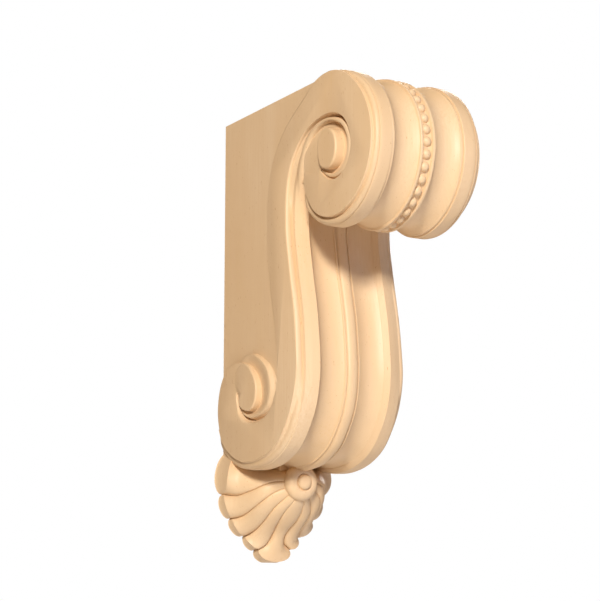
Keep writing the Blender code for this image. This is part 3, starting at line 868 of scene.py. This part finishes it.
class StageSettings(bpy.types.PropertyGroup):
    """Camera of the view the corbel is matched to."""

    azimuth: FloatProperty(
        name="Azimuth",
        description="Camera's turn round the corbel",
        default=math.radians(-31.94),
        subtype="ANGLE",
    )
    elevation: FloatProperty(
        name="Elevation",
        description="Camera's angle over the horizon",
        default=math.radians(-10.54),
        subtype="ANGLE",
    )


class CORBEL_OT_body(bpy.types.Operator):
    """Adds the plain slab and the flat side faces"""

    bl_idname = "corbel.body"
    bl_label = "Slab and side faces"

    def execute(self, context):
        board = piece("slab", [slab(), *neck()])
        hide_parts("corbel")
        outline, soft = flat_face()
        piece("side_faces", both_sides(plate(outline, PLATE_BACK, FACE, soft)))
        return {"FINISHED"}


class CORBEL_OT_fronts(bpy.types.Operator):
    """Adds the moulded fronts of roll and scroll"""

    bl_idname = "corbel.fronts"
    bl_label = "Moulded fronts"

    def execute(self, context):
        piece("roll_front", [roll_front()])
        piece("scroll_front", [s_middle()], back=0.3)
        return {"FINISHED"}


class CORBEL_OT_volutes(bpy.types.Operator):
    """Adds the carved channels and eyes of the volutes"""

    bl_idname = "corbel.volutes"
    bl_label = "Volutes"

    def execute(self, context):
        piece("edge_moulding", both_sides(edge_strip()))
        piece("channels", both_sides(ramp()) + both_sides(lower_channel()))
        piece("eyes", both_sides(upper_eye()) + both_sides(lower_eye()))
        return {"FINISHED"}


class CORBEL_OT_pearls(bpy.types.Operator):
    """Adds the row of pearls"""

    bl_idname = "corbel.pearls"
    bl_label = "Pearls"

    def execute(self, context):
        piece("pearls", pearls())
        return {"FINISHED"}


class CORBEL_OT_shell(bpy.types.Operator):
    """Adds the shell and its rosette"""

    bl_idname = "corbel.shell"
    bl_label = "Shell"

    def execute(self, context):
        piece("shell", [shell()])
        piece("rosette", [rosette()])
        return {"FINISHED"}


class CORBEL_OT_stage(bpy.types.Operator):
    """Adds floor, light and camera"""

    bl_idname = "corbel.stage"
    bl_label = "Stage"

    def execute(self, context):
        settings = context.scene.corbel_stage
        mesh = bpy.data.meshes.new("floor")
        half, low = 6.0, -0.9
        corners = [(-half, -half, low), (half, -half, low), (half, half, low), (-half, half, low)]
        mesh.from_pydata(corners, [], [(0, 1, 2, 3)])
        floor = bpy.data.objects.new("floor", mesh)
        context.collection.objects.link(floor)
        # Matt white paint, which the camera sees evenly lit
        white = bpy.data.materials.new("white_floor")
        white.use_nodes = True
        paint = white.node_tree.nodes["Principled BSDF"]
        paint.inputs["Base Color"].default_value = srgb("FFFFFF")
        paint.inputs["Emission Color"].default_value = srgb("EEEEEC")
        seen = node(white.node_tree, "ShaderNodeLightPath").outputs["Is Camera Ray"]
        white.node_tree.links.new(seen, paint.inputs["Emission Strength"])
        mesh.materials.append(white)
        world = bpy.data.worlds.new("studio")
        world.use_nodes = True
        tree = world.node_tree
        # The room throws a little warm light back onto the wood, and the background behind it is white
        seen = node(tree, "ShaderNodeLightPath").outputs["Is Camera Ray"]
        glow = node(
            tree,
            "ShaderNodeMix",
            {"Factor": seen},
            data_type="RGBA",
            A=(0.10, 0.052, 0.024, 1),
            B=(1, 1, 1, 1),
        )
        tree.links.new(glow.outputs["Result"], tree.nodes["Background"].inputs["Color"])
        context.scene.world = world
        light("key", (-1.35, -1.95, 0.78), KEY_AIM, 0.38, 66, (1.0, 0.985, 1.0))
        light("fill", (0.9, -1.6, 0.1), KEY_AIM, 1.0, 4.5, (0.55, 0.78, 1.4))
        light("back", (1.5, 1.3, 1.0), BACK_AIM, 1.2, 40, (1.0, 0.96, 0.92))
        context.scene.view_settings.view_transform = "Standard"
        turned, raised = settings.azimuth, settings.elevation
        level = math.cos(raised)
        back = Vector((math.sin(turned) * level, -math.cos(turned) * level, math.sin(raised)))
        data = bpy.data.cameras.new("camera")
        data.sensor_width = SENSOR_MM
        data.lens = FOCAL_PIXELS * SENSOR_MM / PICTURE_SIDE
        data.clip_start, data.clip_end = 0.05, 50.0
        camera = bpy.data.objects.new("camera", data)
        camera.location = CAMERA_PLACE
        camera.rotation_mode = "QUATERNION"
        camera.rotation_quaternion = (-back).to_track_quat("-Z", "Y")
        context.collection.objects.link(camera)
        context.scene.camera = camera
        return {"FINISHED"}


class CORBEL_PT_panel(bpy.types.Panel):
    """Lists the steps that build the corbel."""

    bl_label = "Carved corbel"
    bl_idname = "CORBEL_PT_panel"
    bl_space_type = "VIEW_3D"
    bl_region_type = "UI"
    bl_category = "Corbel"

    def draw(self, context):
        column = self.layout.column()
        column.prop(context.scene.corbel_sizes, "pearl_diameter")
        column.prop(context.scene.corbel_sizes, "pearl_pitch")
        for name in ("warm", "pale", "grain", "fleck"):
            column.prop(context.scene.corbel_wood, name)
        for step in STEPS:
            column.operator(step.bl_idname)


STEPS = (
    CORBEL_OT_body,
    CORBEL_OT_fronts,
    CORBEL_OT_volutes,
    CORBEL_OT_pearls,
    CORBEL_OT_shell,
    CORBEL_OT_stage,
)
CLASSES = (CorbelSizes, WoodColours, StageSettings, *STEPS, CORBEL_PT_panel)


def register():
    for made in CLASSES:
        bpy.utils.register_class(made)
    bpy.types.Scene.corbel_sizes = PointerProperty(type=CorbelSizes)
    bpy.types.Scene.corbel_wood = PointerProperty(type=WoodColours)
    bpy.types.Scene.corbel_stage = PointerProperty(type=StageSettings)


def unregister():
    del bpy.types.Scene.corbel_stage
    del bpy.types.Scene.corbel_wood
    del bpy.types.Scene.corbel_sizes
    for made in reversed(CLASSES):
        bpy.utils.unregister_class(made)


def main():
    register()
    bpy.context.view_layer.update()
    bpy.ops.corbel.body()
    bpy.ops.corbel.fronts()
    bpy.ops.corbel.volutes()
    bpy.ops.corbel.pearls()
    bpy.ops.corbel.shell()
    bpy.ops.corbel.stage()


if __name__ == "__main__":
    main()
